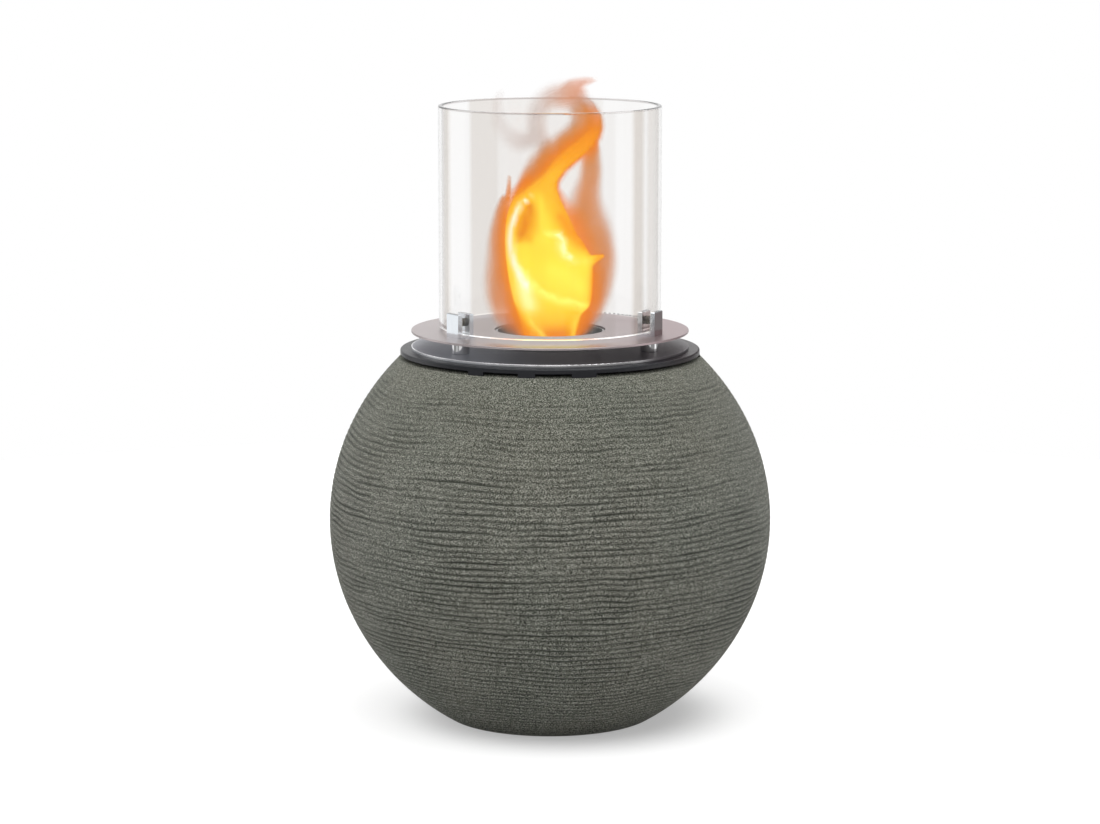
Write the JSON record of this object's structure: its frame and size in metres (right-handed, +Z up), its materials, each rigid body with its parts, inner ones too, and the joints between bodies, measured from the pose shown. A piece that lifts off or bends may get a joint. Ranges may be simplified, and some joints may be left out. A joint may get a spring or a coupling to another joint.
{
  "type": "bioethanol fireplace",
  "caption": "Ball-shaped free-standing bioethanol fireplace: a grooved composite ball carries a vented steel burner unit, with a lift-off glass tube round the flame.",
  "frame": {"origin": "on the floor, below the centre of the ball, where the underside of the foot pads meets it", "axes": "+Z up along the ball's axis, -Y towards the front, +X to the right as seen from the front"},
  "size_m": [0.3998, 0.3998, 0.5567],
  "materials": {
    "ball_composite": "matte",
    "vent_ring_paint": "satin",
    "upper_plate_steel": "satin",
    "lower_plate_steel": "polished",
    "standoff_steel": "polished",
    "clip_steel": "satin",
    "fastener_steel": "satin",
    "burner_steel": "satin",
    "clear_glass": "gloss",
    "clip_silicone": "satin",
    "black_rubber": "matte",
    "ceramic_fibre": "matte"
  },
  "bodies": {
    "ball": {"ball_body": "ball_composite", "foot_pad_1": "black_rubber", "foot_pad_2": "black_rubber", "foot_pad_3": "black_rubber", "foot_pad_4": "black_rubber"},
    "burner_unit": {"vent_ring": "vent_ring_paint", "lower_plate": "lower_plate_steel", "upper_plate": "upper_plate_steel", "spill_can": "burner_steel", "clip_bolts": "fastener_steel", "ring_studs": "fastener_steel", "ring_nuts": "fastener_steel", "can_studs": "fastener_steel", "can_nuts": "fastener_steel", "standoff_1": "standoff_steel", "glass_clip_1": "clip_steel", "clip_liner_1": "clip_silicone", "pressure_screw_1": "fastener_steel", "pressure_pad_1": "black_rubber", "standoff_2": "standoff_steel", "glass_clip_2": "clip_steel", "clip_liner_2": "clip_silicone", "pressure_screw_2": "fastener_steel", "pressure_pad_2": "black_rubber", "standoff_3": "standoff_steel", "glass_clip_3": "clip_steel", "clip_liner_3": "clip_silicone", "pressure_screw_3": "fastener_steel", "pressure_pad_3": "black_rubber"},
    "fuel_cup": {"fuel_cup": "burner_steel", "ceramic_wool": "ceramic_fibre", "burner_grid": "burner_steel"},
    "glass": {"glass_tube": "clear_glass"}
  },
  "joints": [
    {"name": "burner_lift", "type": "slide", "parent": "ball", "child": "burner_unit", "axis": [0, 0, 1], "range_m": [0, 0.12]},
    {"name": "glass_lift", "type": "slide", "parent": "burner_unit", "child": "glass", "axis": [0, 0, 1], "range_m": [0, 0.06]},
    {"name": "cup_lift", "type": "slide", "parent": "burner_unit", "child": "fuel_cup", "axis": [0, 0, 1], "range_m": [0, 0.31]}
  ]
}
